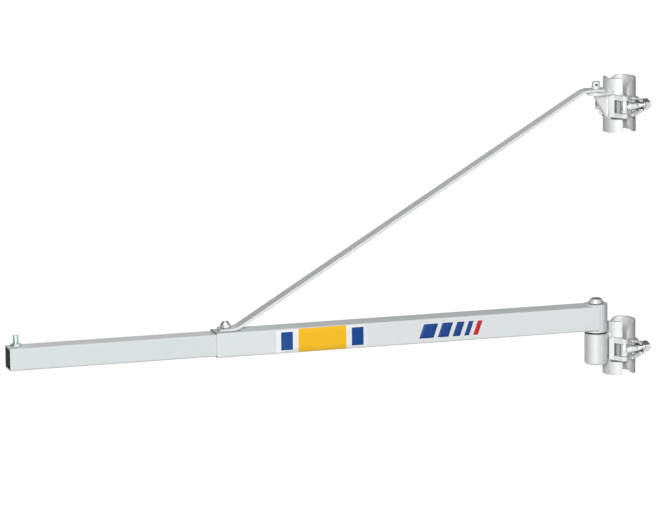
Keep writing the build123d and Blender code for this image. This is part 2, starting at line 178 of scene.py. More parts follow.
def coated_steel(name, colour, shade, rough, metal, cloud_scale, bump, stretch=even):
    """Painted or plated steel: the colour falls towards its shade with the clouds and drawn lines,
    edges show brighter metal, narrow recesses are darkened as painted shade by an occlusion
    test, and the flecks and lines give roughness and a fine relief."""
    cloud_share, line_share, edge_share = 0.6, 0.4, 0.5
    rough_swing, edge_metal = 0.05, 0.3
    open_recess, closed_recess, most_crevice_shade = 0.70, 0.25, 0.85
    material = bpy.data.materials.new(name)
    material.use_nodes = True
    tree = material.node_tree
    shader = tree.nodes["Principled BSDF"]
    shader.inputs["Specular IOR Level"].default_value = paint_sheen
    look = use_group(tree, grain)
    look.inputs["Stretch"].default_value = stretch
    look.inputs["Cloud Scale"].default_value = cloud_scale
    worn = use_group(tree, rubbed)
    tone = maths(
        tree, "ADD",
        maths(tree, "MULTIPLY", look.outputs["Cloud"], cloud_share),
        maths(tree, "MULTIPLY", look.outputs["Lines"], line_share),
    )
    coat = blend(tree, tone, colour, shade)
    edge = maths(tree, "MULTIPLY", worn.outputs["Edge"], edge_share)
    tree.links.new(blend(tree, edge, coat, bare_edge), shader.inputs["Base Color"])
    gloss = spread(
        tree, look.outputs["Flecks"], 0.0, 1.0, rough - rough_swing, rough + rough_swing
    )
    tree.links.new(gloss, shader.inputs["Roughness"])
    shine = spread(tree, worn.outputs["Edge"], 0.0, 1.0, metal, min(metal + edge_metal, 1.0))
    tree.links.new(shine, shader.inputs["Metallic"])
    # Painted shade: narrow recesses found by an occlusion test are darkened.
    recess = place(tree, "ShaderNodeAmbientOcclusion", Distance=crevice_shade_reach)
    recess.samples = 6
    crevice_shade_mask = spread(tree, recess.outputs["AO"], open_recess, closed_recess, 0.0, most_crevice_shade)
    cover(material, crevice_shade_mask, painted_crevice_shade)
    relief = place(tree, "ShaderNodeBump", Strength=0.15, Distance=bump)
    height = maths(tree, "ADD", look.outputs["Lines"], look.outputs["Flecks"])
    tree.links.new(height, relief.inputs["Height"])
    soft_edge = place(tree, "ShaderNodeBevel", Radius=edge_round)
    soft_edge.samples = 4
    tree.links.new(soft_edge.outputs["Normal"], relief.inputs["Normal"])
    tree.links.new(relief.outputs["Normal"], shader.inputs["Normal"])
    return material


def dress(names, material):
    """Gives the CAD nodes of these names one material."""
    for name in names:
        nodes[name].data.materials.clear()
        nodes[name].data.materials.append(material)


def both_clamps(piece):
    """Names of one piece on the lower and the upper clamp."""
    return [level + "_" + piece for level in clamp_levels]


def middle_axes(tree, middle, turn=0.0):
    """Object coordinates taken from a middle point and turned about Z, as three values."""
    spot = place(tree, "ShaderNodeTexCoord")
    centred = place(tree, "ShaderNodeMapping", Location=middle, Rotation=(0.0, 0.0, turn))
    centred.vector_type = "TEXTURE"
    tree.links.new(spot.outputs["Object"], centred.inputs["Vector"])
    split = place(tree, "ShaderNodeSeparateXYZ")
    tree.links.new(centred.outputs["Vector"], split.inputs["Vector"])
    return split.outputs


def shell_paint(name, colour, shade, metal=0.30):
    """Pale silver paint with faint clouds, over pressed plate."""
    return coated_steel(
        name, colour, shade, rough=0.46, metal=metal, cloud_scale=40.0, bump=0.04 * mm
    )


# The pocket of a collar behind the bolt's hub is painted dark as painted shade, darkest at its
# sides, and a dark line under the bolt's bracket is a painted shadow.
pocket_painted_shade = (0.05, 0.05, 0.047, 1.0)
bracket_shadow = (0.06, 0.06, 0.057, 1.0)
pocket_turn = clamp_turn + math.radians(50)
outer_skin = 26 * mm
pocket_sides, pocket_ends = (6.6 * mm, 5.8 * mm), (12.4 * mm, 11.8 * mm)
pocket_depth, thin_pocket_shade, thick_pocket_shade = (1.0 * mm, 5.5 * mm), 0.55, 0.95
shadow_foot, shadow_top = (-25.8 * mm, -24.6 * mm), -20 * mm
shadow_start, shadow_end, most_collar_shadow = (-17 * mm, -11 * mm), (13 * mm, 9 * mm), 0.80
for level, height in clamp_levels.items():
    collar_paint = shell_paint(level + "_collar_paint", pale_silver, silver_shade)
    tree = collar_paint.node_tree
    pocket = middle_axes(tree, (0.0, 0.0, height), pocket_turn)
    aside = maths(tree, "ABSOLUTE", pocket["Y"])
    above = maths(tree, "ABSOLUTE", pocket["Z"])
    outside = maths(tree, "GREATER_THAN", pocket["X"], outer_skin)
    # Painted shade in the pocket behind the bolt's hub.
    pocket_shade_mask = overlap(
        tree, outside, spread(tree, aside, *pocket_sides), spread(tree, above, *pocket_ends),
        spread(tree, aside, *pocket_depth, thin_pocket_shade, thick_pocket_shade),
    )
    cover(collar_paint, pocket_shade_mask, pocket_painted_shade)
    # Painted shadow: a dark line on the collar under the bolt's bracket.
    collar_shadow_mask = overlap(
        tree, outside, spread(tree, pocket["Z"], *shadow_foot),
        maths(tree, "LESS_THAN", pocket["Z"], shadow_top),
        spread(tree, pocket["Y"], *shadow_start),
        spread(tree, pocket["Y"], *shadow_end, 0.0, most_collar_shadow),
    )
    cover(collar_paint, collar_shadow_mask, bracket_shadow)
    dress([level + "_collar"], collar_paint)

# Forged brackets on the collars, one for the swing bolt and one for the hinge. They have a
# slightly rough forged skin under pale paint, and are welded on along their edges. The bolt's
# bracket takes a whiter copy of the paint, as painted light on its lit front.
forged_shade = (0.71, 0.72, 0.72, 1.0)
lit_white, lit_white_shade = (0.86, 0.87, 0.87, 1.0), (0.81, 0.82, 0.82, 1.0)


def forged_coat(name, colour, shade, metal):
    """Pale paint over a forged skin, with more or less metal flake in it."""
    return coated_steel(
        name, colour, shade, rough=0.42, metal=metal, cloud_scale=90.0, bump=0.10 * mm
    )


forged_paint = forged_coat("forged_paint", pale_silver, forged_shade, metal=0.30)
bracket_paint = forged_coat("bracket_paint", lit_white, lit_white_shade, metal=0.10)
dress(both_clamps("bolt_bracket"), bracket_paint)
dress(both_clamps("hinge_bracket"), forged_paint)
bracket_half = 20.5 * mm
weld_pitch = 2.2 * mm


def add_mesh(name, points, faces, material, body, slot):
    """Makes a piece from an array of points and a list of face arrays, smooth, on one body."""
    mesh = bpy.data.meshes.new(name)
    mesh.from_pydata(points, [], [face for part in faces for face in part.tolist()])
    mesh.materials.append(material)
    mesh.polygons.foreach_set("use_smooth", np.ones(len(mesh.polygons), bool))
    mesh.update()
    piece = bpy.data.objects.new(name, mesh)
    bpy.context.scene.collection.objects.link(piece)
    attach(piece, body)
    return piece


def grid_faces(rows, columns):
    """Quads of a grid of points whose columns close on themselves, and a fan at either end to one
    end point each. Point order: the grid row by row, then the first end point, then the last."""
    row = np.arange(rows - 1)[:, None] * columns
    here = np.arange(columns)[None, :]
    after = (here + 1) % columns
    quads = np.stack([row + here, row + after, row + columns + after, row + columns + here], -1)
    first, last = rows * columns, rows * columns + 1
    top = (rows - 1) * columns
    ring, ring_after = here[0], after[0]
    start = np.stack([ring_after, ring, np.full(columns, first)], -1)
    finish = np.stack([top + ring, top + ring_after, np.full(columns, last)], -1)
    return [quads.reshape(-1, 4), start, finish]


def bead(path, along_a, along_b, leg):
    """Fillet weld bead. Its section is a convex hump between two toes, one leg along each of two
    faces, carried along a path; the leg swells by a sine of the length run, bowed across the
    hump, which gives the crescent ripples, and thins out at both ends."""
    hump, toe, root = 0.22, 0.06, 0.2
    end_size, run_out = 0.55, 1.5
    ripple_height, ripple_bow = 0.07, 0.5
    bend = np.linspace(0, math.pi / 2, 9)
    reach = (1 + hump * np.sin(2 * bend)) / (np.cos(bend) + np.sin(bend))
    section = np.stack([reach * np.cos(bend) - toe, reach * np.sin(bend) - toe], -1)
    section = np.vstack([section, [[-root, -root]]])
    run = np.r_[0, np.cumsum(np.linalg.norm(np.diff(path, axis=0), axis=1))]
    from_end = np.minimum(run, run[-1] - run)
    thin = end_size + (1 - end_size) * np.sqrt(np.clip(from_end / (run_out * leg), 0, 1))
    bow = np.r_[np.sin(2 * bend), 0.0] * ripple_bow
    turns = run[:, None] / weld_pitch - bow[None, :]
    ripple = 1 + ripple_height * np.sin(2 * math.pi * turns)
    size = (leg * thin[:, None] * ripple)[..., None]
    points = path[:, None] + size * (
        section[None, :, :1] * along_a[:, None] + section[None, :, 1:] * along_b[:, None]
    )
    middle = points.mean(1)
    rows, columns = points.shape[:2]
    points = np.vstack([points.reshape(-1, 3), middle[:1], middle[-1:]])
    return points, grid_faces(rows, columns)


def beads(name, seams, material, body, slot):
    """Joins several weld beads into one piece. A seam whose two directions and path turn the
    wrong way round has its faces turned, so that all of them point outwards."""
    points, faces, count = [], [], 0
    for path, along_a, along_b, leg in seams:
        seam_points, seam_faces = bead(path, along_a, along_b, leg)
        ahead = path[1] - path[0]
        turned = np.dot(np.cross(along_a[0], along_b[0]), ahead) < 0
        for part in seam_faces:
            faces.append((part[:, ::-1] if turned else part) + count)
        points.append(seam_points)
        count += len(seam_points)
    return add_mesh(name, np.vstack(points), faces, material, body, slot)


def on_clamp(vectors, level=0.0):
    """Turns points or directions of a clamp's own frame (pivot side on +X) into the part's."""
    cosine, sine = math.cos(clamp_turn), math.sin(clamp_turn)
    x, y, z = np.moveaxis(np.asarray(vectors, float), -1, 0)
    return np.stack([x * cosine - y * sine, x * sine + y * cosine, z + level], -1)


def shell_point(angle, height, radius=shell_r):
    """Points on the outside of a shell, by angle from the pivot side and by height."""
    angle, height = np.broadcast_arrays(np.asarray(angle, float), np.asarray(height, float))
    return np.stack([radius * np.cos(angle), radius * np.sin(angle), height], -1)


def around_seam(start, end, height, rise, leg, steps=90):
    """Seam that runs round a shell at one height, between two angles in degrees; its bead stands
    up or down the shell and outwards along the band's edge."""
    angle = np.radians(np.linspace(start, end, steps))
    out = shell_point(angle, 0.0, 1.0)
    up = np.zeros_like(out)
    up[:, 2] = rise
    return shell_point(angle, height), up, out, leg


def upright_seam(angle, low, high, side, leg, steps=70):
    """Seam that runs up a shell at one angle in degrees; its bead stands to one side round the
    shell and outwards along the bracket's side."""
    height = np.linspace(low, high, steps)
    angle = np.full(steps, math.radians(angle))
    out = shell_point(angle, 0.0, 1.0)
    round_it = np.stack([-np.sin(angle), np.cos(angle), 0 * angle], -1) * side
    return shell_point(angle, height), round_it, out, leg


def clamp_seams(seams, level):
    """Puts a list of seams of a clamp's own frame on the clamp at one level."""
    return [(on_clamp(p, level), on_clamp(a), on_clamp(b), leg) for p, a, b, leg in seams]


bracket_edge, short_end, long_end = 22.0, 37.0, 68.0
edge_leg, side_leg, side_half = 3.0 * mm, 2.4 * mm, 19 * mm
bracket_seams = []
for side, low_end in ((1, long_end), (-1, short_end)):
    start, end = side * bracket_edge, side * short_end
    bracket_seams.append(around_seam(start, end, bracket_half, 1, edge_leg))
    bracket_seams.append(around_seam(start, side * low_end, -bracket_half, -1, edge_leg))
for side in (1, -1):
    bracket_seams.append(
        upright_seam(side * bracket_edge, -side_half, side_half, -side, side_leg)
    )
# The lower weld beads of the bolt's bracket are painted dark, as a painted shadow under the
# bracket's lower edge.
unshaded_over, shaded_under, most_bead_shadow = 0.2 * mm, -0.4 * mm, 0.85
for level, height in clamp_levels.items():
    bead_shadow_paint = shell_paint(level + "_bead_shadow_paint", pale_silver, silver_shade)
    tree = bead_shadow_paint.node_tree
    over_edge = middle_axes(tree, (0.0, 0.0, height - bracket_half))["Z"]
    bead_shadow_mask = spread(tree, over_edge, unshaded_over, shaded_under, 0.0, most_bead_shadow)
    cover(bead_shadow_paint, bead_shadow_mask, bracket_shadow)
    seams = clamp_seams(bracket_seams, height)
    beads(level + "_bracket_welds", seams, bead_shadow_paint, "base", "clamp")

# Hinge pins of the clamp caps: zinc-plated rivets, turned from bar and headed at both ends. Each
# goes through the eye of a hinge bracket and the two eyes of the cap strap around it.


def plated(name, colour, shade, rough, metal, cloud_scale=120.0):
    """Smooth zinc-plated or oiled steel with faint clouds."""
    return coated_steel(name, colour, shade, rough, metal, cloud_scale, bump=0.02 * mm)


bright_zinc = plated(
    "bright_zinc", (0.86, 0.88, 0.87, 1.0), (0.74, 0.77, 0.76, 1.0), rough=0.22, metal=0.85
)
dress(both_clamps("hinge_pin"), bright_zinc)

# Hinged caps of the clamps: a half shell with swept-back free edges, and a forged strap around
# it with the fork for the swing bolt. The strap is welded on along both edges.
# The cap shell's paint is a slightly darker copy of the collar's, as painted shade on its wings.
cap_paint = shell_paint("cap_paint", (0.75, 0.76, 0.76, 1.0), (0.72, 0.73, 0.73, 1.0))
dress(both_clamps("cap_shell"), cap_paint)
dress(both_clamps("cap_strap"), forged_paint)
strap_start, strap_end, strap_half = 132.0, 256.0, 12 * mm
cap_seams = [
    around_seam(strap_start, strap_end, side * strap_half, side, side_leg) for side in (1, -1)
]
for level, height in clamp_levels.items():
    seams = clamp_seams(cap_seams, height)
    beads(level + "_cap_welds", seams, forged_paint, level + "_cap", "clamp")

# Swing bolts: forged T-headed bolts, plated, whose trunnions turn in the bracket. The outer
# half of the shank has a rolled metric thread.
trunnion_r, trunnion_angle = 41 * mm, math.radians(66)
trunnion = trunnion_r * np.array([math.cos(trunnion_angle), math.sin(trunnion_angle), 0.0])
bolt_r = 6 * mm
bolt_pitch = 1.75 * mm
bolt_length = 58 * mm
thread_start = 27 * mm


def turned_piece(profile, columns=48):
    """Turned piece on the Z axis: radius and height pairs swept round, closed by an end point
    where the profile starts and another where it ends."""
    angle = np.linspace(0, 2 * math.pi, columns, endpoint=False)
    radius, height = np.asarray(profile, float).T
    x, y = radius[:, None] * np.cos(angle), radius[:, None] * np.sin(angle)
    points = np.stack([x, y, np.broadcast_to(height[:, None], x.shape)], -1).reshape(-1, 3)
    ends = [[0, 0, height[0]], [0, 0, height[-1]]]
    return np.vstack([points, ends]), grid_faces(len(radius), columns)


def threaded_shank(radius, pitch, low, start, high, columns=40):
    """Shank on the Z axis with a rolled thread above a start height. The thread is a rounded
    ridge, a cosine of the height less the share of a turn, and the end is bevelled by a cone."""
    depth, end_bevel = 0.3 * pitch, 1.2 * mm
    rows_per_turn, groove_form = 8, 0.7
    rows = int(round((high - start) / pitch * rows_per_turn))
    height = np.r_[low, start - pitch, np.linspace(start, high, rows)]
    angle = np.linspace(0, 2 * math.pi, columns, endpoint=False)
    turns = height[:, None] / pitch - angle / (2 * math.pi)
    wave = 0.5 - 0.5 * np.cos(2 * math.pi * turns)
    grow = np.clip((height - start) / pitch, 0, 1)
    size = radius - depth * grow[:, None] * wave**groove_form
    bevel = radius - np.clip(height - (high - end_bevel), 0, None)
    size = np.minimum(size, bevel[:, None])
    upright = np.broadcast_to(height[:, None], size.shape)
    points = np.stack([size * np.cos(angle), size * np.sin(angle), upright], -1)
    points = np.vstack([points.reshape(-1, 3), [[0, 0, low], [0, 0, high]]])
    return points, grid_faces(len(height), columns)


def joined(parts):
    """Joins several sets of points and faces into one."""
    points, faces, count = [], [], 0
    for part_points, part_faces in parts:
        points.append(part_points)
        faces += [face + count for face in part_faces]
        count += len(part_points)
    return np.vstack(points), faces


hub = [(4.0, -20.5), (4.5, -20.0), (4.5, -12.2), (6.0, -11.7), (6.5, -11.2)]
hub = np.array(hub + [(r, -z) for r, z in reversed(hub)]) * mm
shank_points, shank_faces = threaded_shank(bolt_r, bolt_pitch, 0.0, thread_start, bolt_length)
shank_points = np.stack([-shank_points[:, 2], shank_points[:, 1], shank_points[:, 0]], -1)
bolt_points, bolt_faces = joined([turned_piece(hub), (shank_points, shank_faces)])
for level, height in clamp_levels.items():
    points = on_clamp(bolt_points + trunnion, height)
    bolt = add_mesh(level + "_bolt", points, bolt_faces, bright_zinc, level + "_bolt", "zinc")
    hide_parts(level + "_swing_bolt")

# Flange nuts of the swing bolts: cold-formed hexagon nuts with a wide collar, zinc plated. They
# sit on the open fork of the cap strap and draw the clamp shut.
dress(both_clamps("flange_nut"), bright_zinc)

# Pivot bracket on the lower collar: a thick round boss with a short web, cast in one piece and
# welded to the collar down both sides of the web and along its top.
dress(["pivot_bracket"], forged_paint)
web_half = 10.5 * mm
web_angle = math.degrees(math.asin(web_half / shell_r))
web_foot, web_head, web_top, web_leg = -21 * mm, 30 * mm, 31 * mm, 3.2 * mm
pivot_seams = [
    upright_seam(side * web_angle, web_foot, web_head, side, web_leg) for side in (1, -1)
]
pivot_seams.append(around_seam(-web_angle, web_angle, web_top, 1, web_leg))
beads("pivot_welds", clamp_seams(pivot_seams, 0.0), forged_paint, "base", "clamp")

# King pin with a domed head whose top is painted darker as painted shade, a near-black thrust
# washer under the arm, dark as grease and as painted shade in the gap, and the washer and ring
# that keep the pin in the boss: turned and stamped steel, zinc plated.
dress(["king_clip", "king_washer"], bright_zinc)
# Near black steel: grease and blackening, and painted shade in the gap under the arm and in the
# rolled pin's end.
grease_and_shade_black = plated(
    "grease_and_shade_steel", (0.06, 0.06, 0.055, 1.0), (0.03, 0.03, 0.028, 1.0), rough=0.32, metal=0.30,
    cloud_scale=150.0,
)
dress(["thrust_washer"], grease_and_shade_black)
king_zinc = plated(
    "king_zinc", (0.74, 0.76, 0.76, 1.0), (0.66, 0.68, 0.68, 1.0), rough=0.38, metal=0.35
)
# The top of the dome is painted darker, as painted shade.
dome_top_shade = (0.24, 0.25, 0.245, 1.0)
head_rise, flank_rise, dome_edge = 8.8, 8.4, (-0.1 * mm, 0.3 * mm)
pin_r, groove_r, end_bevel, lip_r, lip = 10.0, 8.8, 0.8, 9.9, 0.2
pin_low, pin_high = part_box("king_pin")
ring_low, ring_high = (corner.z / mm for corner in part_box("king_clip"))
pin_end, head_seat = pin_low.z / mm, pin_high.z / mm - head_rise
tree = king_zinc.node_tree
over_flank = middle_axes(tree, (0.0, 0.0, (head_seat + flank_rise) * mm))["Z"]
cover(king_zinc, spread(tree, over_flank, *dome_edge), dome_top_shade)
shaft = [
    (pin_r - end_bevel, pin_end), (pin_r, pin_end + end_bevel), (pin_r, ring_low - lip),
    (lip_r, ring_low), (groove_r, ring_low), (groove_r, ring_high), (lip_r, ring_high),
    (pin_r, ring_high + lip), (pin_r, head_seat),
]
head = [
    (12.9, 0.0), (13.2, 0.3), (13.2, 2.2), (12.9, 2.9), (11.0, 7.0), (10.6, 7.7), (10.0, 8.3),
    (9.2, 8.7), (7.8, 9.1), (5.6, 9.5), (3.0, 9.8), (0.6, 9.9),
]
pin_profile = shaft + [(radius, head_seat + rise) for radius, rise in head]
pin_points, pin_faces = turned_piece(np.array(pin_profile) * mm, columns=72)
pin_middle = np.array([(pin_low.x + pin_high.x) / 2, (pin_low.y + pin_high.y) / 2, 0.0])
king = add_mesh("king_bolt", pin_points + pin_middle, pin_faces, king_zinc, "base", "zinc")
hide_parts("king_pin")

# Tie lug on the upper collar: a flat plate with a round nose on an upright gusset, both cut
# from plate and welded to the collar and to each other. Both take a whiter copy of the pale
# paint, as painted light.
lug_paint = shell_paint("lug_paint", lit_white, lit_white_shade, metal=0.10)
dress(["lug_plate"], lug_paint)
dress(["lug_gusset"], shell_paint("gusset_paint", lit_white, lit_white_shade, metal=0.10))
lug_top, lug_bottom = 27.5 * mm, 21.0 * mm
gusset_half, gusset_foot, gusset_head = 3 * mm, -21.5 * mm, 20 * mm
plate_half, plate_inner, plate_outer = 17 * mm, 33 * mm, 57 * mm
plate_angle = math.degrees(math.asin(plate_half / shell_r))
gusset_angle = math.degrees(math.asin(gusset_half / shell_r))
gusset_leg, plate_steps = 2.6 * mm, 50
lug_seams = [around_seam(-plate_angle, plate_angle, lug_top, 1, edge_leg)]
for side in (1, -1):
    lug_seams.append(
        upright_seam(side * gusset_angle, gusset_foot, gusset_head, side, gusset_leg)
    )
out_along = np.linspace(plate_inner, plate_outer, plate_steps)
for side in (1, -1):
    across = np.full(plate_steps, side * gusset_half)
    path = np.stack([out_along, across, np.full(plate_steps, lug_bottom)], -1)
    sideways = np.tile([0.0, side, 0.0], (plate_steps, 1))
    down = np.tile([0.0, 0.0, -1.0], (plate_steps, 1))
    lug_seams.append((path, sideways, down, gusset_leg))
beads("lug_welds", clamp_seams(lug_seams, clamp_levels["upper"]), lug_paint, "base", "clamp")

# Tie pin, a plated stud through the lug, with a rolled pin of blackened spring steel across it
# that keeps the tie bar on; the pin's near black is also painted shade for its hollow end.
dull_zinc = plated(
    "dull_zinc", (0.84, 0.86, 0.86, 1.0), (0.78, 0.80, 0.80, 1.0), rough=0.42, metal=0.30
)
dress(["tie_pin"], dull_zinc)
dress(["tie_clip"], grease_and_shade_black)

# Arm boss with its two plain bushes: a length of thick steel tube, painted like the arm, and
# bushes of sintered bronze with open pores, pressed in from both ends.
tube_silver, tube_shade = (0.775, 0.805, 0.815, 1.0), (0.745, 0.775, 0.785, 1.0)


def silver_paint(name, rough, metal, colour=tube_silver, shade=tube_shade):
    """Smooth silver paint with faint lines drawn along the tube."""
    return coated_steel(
        name, colour, shade, rough, metal, cloud_scale=6.0, bump=0.02 * mm,
        stretch=(0.02, 1.0, 1.0),
    )


arm_paint = silver_paint("arm_paint", rough=0.42, metal=0.25)
dress(["arm_boss"], arm_paint)
bronze = coated_steel(
    "sintered_bronze", (0.55, 0.40, 0.20, 1.0), (0.36, 0.25, 0.12, 1.0), rough=0.45, metal=0.8,
    cloud_scale=260.0, bump=0.06 * mm,
)
dress(["bush_lower", "bush_upper"], bronze)

# Arm tube: cold-drawn square steel tube under smooth silver paint. Its end is coped to the boss
# and welded round it; the other end is a plain saw cut, where the extension comes out.
tube_paint = silver_paint("tube_paint", rough=0.58, metal=0.05)
dress(["arm_tube"], tube_paint)
mill_scale_and_shade = (0.045, 0.045, 0.048, 1.0)
bare_cut_and_gap_shade = (0.05, 0.05, 0.05, 1.0)
rubbed_silver = (0.87, 0.88, 0.88, 1.0)


def scale_and_shade_inside(material, node, wall):
    """Paints the inside of a square tube along X near black, as mill scale and painted shade:
    where both distances from the tube's middle line are less than its half width without the wall."""
    low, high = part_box(node)
    tree = material.node_tree
    out = middle_axes(tree, (low + high) / 2)
    across = maths(tree, "ABSOLUTE", out["Y"])
    upright = maths(tree, "ABSOLUTE", out["Z"])
    reach = maths(tree, "MAXIMUM", across, upright)
    margin = 0.05 * mm
    inside_half = (high.z - low.z) / 2 - wall + margin
    cover(material, maths(tree, "LESS_THAN", reach, inside_half), mill_scale_and_shade)


scale_and_shade_inside(tube_paint, "arm_tube", wall=2.0 * mm)
tree = tube_paint.node_tree
tube_box_low, tube_box_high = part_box("arm_tube")
tube_low, tube_high, tube_front = tube_box_low.z, tube_box_high.z, tube_box_low.y
cut_depth, cut_height = 0.2 * mm, 2.6 * mm
rub_edge, rub_share = (5.5 * mm, 5.0 * mm), 0.30
from_cut = middle_axes(tree, (tube_box_low.x, tube_front, tube_high - cut_height))
rubbed_band = spread(tree, from_cut["X"], *rub_edge, 0.0, rub_share)
cover(tube_paint, rubbed_band, rubbed_silver)
# The top of the saw cut is painted near black: bare steel, and painted shade for the gap over the
# extension.
at_cut = maths(tree, "LESS_THAN", from_cut["X"], cut_depth)
at_top = maths(tree, "GREATER_THAN", from_cut["Z"])
cover(tube_paint, overlap(tree, at_cut, at_top), bare_cut_and_gap_shade)
boss_r = 21 * mm
boss_low, boss_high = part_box("arm_boss")
pivot = np.array([(boss_low.x + boss_high.x) / 2, (boss_low.y + boss_high.y) / 2, 0.0])
cope_start, cope_end = math.radians(97), math.radians(263)
round_steps, rise_steps = 110, 80
round_leg, flank_leg, flank_inset = 2.4 * mm, 1.3 * mm, 3 * mm
round_boss = np.linspace(cope_start, cope_end, round_steps)
boss_out = np.stack([np.cos(round_boss), np.sin(round_boss), 0 * round_boss], -1)
boss_seams = []
for height, rise in ((tube_high, 1.0), (tube_low, -1.0)):
    path = pivot + boss_r * boss_out + [0, 0, height]
    up = np.tile([0.0, 0.0, rise], (round_steps, 1))
    boss_seams.append((path, boss_out, up, round_leg))
for side in (1, -1):
    rise = np.linspace(tube_low + flank_inset, tube_high - flank_inset, rise_steps)
    path = np.stack([0 * rise, np.full(rise_steps, side * boss_r), rise], -1) + pivot
    ahead = np.tile([1.0, 0.0, 0.0], (rise_steps, 1))
    outward = np.tile([0.0, side, 0.0], (rise_steps, 1))
    boss_seams.append((path, ahead, outward, flank_leg))
beads("boss_welds", boss_seams, arm_paint, "arm", "arm")

# Marker strip on the front of the arm tube: thin printed vinyl, white with a yellow middle
# panel and a blue bar at each end, stuck on flat with rounded corners.
strip_start, strip_end = -612.3 * mm, -440.3 * mm
strip_height, strip_corner = 42.5 * mm, 2 * mm
panel_half = 44.6 * mm
bar_place, bar_half, bar_half_height = 66 * mm, 11 * mm, 16.5 * mm
strip_white, strip_yellow = (0.88, 0.89, 0.90, 1.0), (0.95, 0.53, 0.012, 1.0)
strip_blue, strip_faded = (0.004, 0.062, 0.27, 1.0), (0.80, 0.80, 0.78, 1.0)
film_sheen = 0.15
tube_middle = (tube_low + tube_high) / 2
strip_middle = np.array([pivot[0] + (strip_start + strip_end) / 2, tube_front, tube_middle])


def sticker(middle, width, height, corner, lean=0.0, columns=96):
    """Thin flat sticker on the front of the tube: a rectangle with rounded corners, each a quarter
    of a circle, leant over by a shear, with a raised face and a soft rim."""
    turn = np.linspace(0, 2 * math.pi, columns, endpoint=False) + math.pi / columns
    x = np.sign(np.cos(turn)) * (width / 2 - corner) + corner * np.cos(turn)
    z = np.sign(np.sin(turn)) * (height / 2 - corner) + corner * np.sin(turn)
    lift = np.array([0.0, 0.2, 0.25, 0.25]) * mm
    inset = np.array([1.0, 1.0, 0.9985, 0.5])[:, None]
    loops = np.stack([(x + lean * z) * inset, np.tile(-lift[:, None], columns), z * inset], -1)
    points = np.vstack([loops.reshape(-1, 3), [[0, 0, 0], [0, -lift[-1], 0]]])
    return points + middle, grid_faces(len(lift), columns)


def vinyl(name):
    """Thin vinyl film whose satin gloss varies with the flecks; gives the film and its grain."""
    satin, dull = 0.34, 0.46
    material = bpy.data.materials.new(name)
    material.use_nodes = True
    tree = material.node_tree
    film = tree.nodes["Principled BSDF"].inputs
    film["Specular IOR Level"].default_value = film_sheen
    look = use_group(tree, grain)
    gloss = spread(tree, look.outputs["Flecks"], 0.0, 1.0, satin, dull)
    tree.links.new(gloss, film["Roughness"])
    return material, look


def print_on(material, look, colour, faded, share):
    """Prints a colour on vinyl, of which a small share has faded in the clouds."""
    tree = material.node_tree
    cloudy = maths(tree, "MULTIPLY", look.outputs["Cloud"], share)
    base = tree.nodes["Principled BSDF"].inputs["Base Color"]
    tree.links.new(blend(tree, cloudy, colour, faded), base)


strip_vinyl, strip_look = vinyl("printed_vinyl")
tree = strip_vinyl.node_tree
on_strip = middle_axes(tree, strip_middle)
from_middle = maths(tree, "ABSOLUTE", on_strip["X"])
in_panel = maths(tree, "LESS_THAN", from_middle, panel_half)
from_bar = maths(tree, "ABSOLUTE", maths(tree, "SUBTRACT", from_middle, bar_place))
from_mid_height = maths(tree, "ABSOLUTE", on_strip["Z"])
in_bar = overlap(
    tree, maths(tree, "LESS_THAN", from_bar, bar_half),
    maths(tree, "LESS_THAN", from_mid_height, bar_half_height),
)
ground = blend(tree, in_panel, strip_white, strip_yellow)
printed = blend(tree, in_bar, ground, strip_blue)
print_on(strip_vinyl, strip_look, printed, strip_faded, share=0.02)
strip_points, strip_faces = sticker(
    strip_middle, strip_end - strip_start, strip_height, strip_corner
)
add_mesh("marker_strip", strip_points, strip_faces, strip_vinyl, "arm", "arm")

# Trim on the front of the arm tube: a row of leaning vinyl stripes, four dark blue that narrow
# towards the pivot and a last one in red.
stripe_starts = np.array([-340.0, -305.0, -277.0, -255.0, -238.0]) * mm
stripe_widths = np.array([27.0, 20.0, 14.0, 9.0, 9.0]) * mm
stripe_height, stripe_corner, stripe_lean = 26 * mm, 1.2 * mm, 0.35
red_from = -241 * mm
stripe_blue, stripe_red = (0.012, 0.06, 0.27, 1.0), (0.62, 0.02, 0.02, 1.0)
stripe_faded = (0.30, 0.32, 0.36, 1.0)
stripe_vinyl, stripe_look = vinyl("stripe_vinyl")
tree = stripe_vinyl.node_tree
along = middle_axes(tree, (pivot[0] + red_from, tube_front, tube_middle))
leant = maths(tree, "SUBTRACT", along["X"], maths(tree, "MULTIPLY", along["Z"], stripe_lean))
hue = blend(tree, maths(tree, "GREATER_THAN", leant), stripe_blue, stripe_red)
print_on(stripe_vinyl, stripe_look, hue, stripe_faded, share=0.03)
stripes = []
for start, width in zip(stripe_starts, stripe_widths):
    middle = np.array([pivot[0] + start + width / 2, tube_front, tube_middle])
    stripes.append(sticker(middle, width, stripe_height, stripe_corner, stripe_lean))
add_mesh("trim_stripes", *joined(stripes), stripe_vinyl, "arm", "arm")

# Tie bar: one flat steel bar, bent at the foot and the head, punched for the stud and the pin,
# and painted silver.
bar_paint = coated_steel(
    "bar_paint", (0.74, 0.76, 0.76, 1.0), (0.71, 0.73, 0.73, 1.0), rough=0.42, metal=0.25,
    cloud_scale=8.0, bump=0.02 * mm, stretch=(0.05, 1.0, 0.05),
)
dress(["tie_bar"], bar_paint)

# Fastening of the tie bar's foot: a weld stud on the top of the arm tube, through the hole in
# the foot, and a domed cap nut on it, both zinc plated.
dress(["foot_stud", "cap_nut"], bright_zinc)

# Lock of the extension: a zinc-plated hexagon screw in a nut that is welded to the back of the
# arm tube. When it is tightened, its tip holds the extension.
dress(["lock_nut"], bright_zinc)
nut_low, nut_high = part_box("lock_nut")
lock_axis = np.array([(nut_low.x + nut_high.x) / 2, 0.0, (nut_low.z + nut_high.z) / 2])


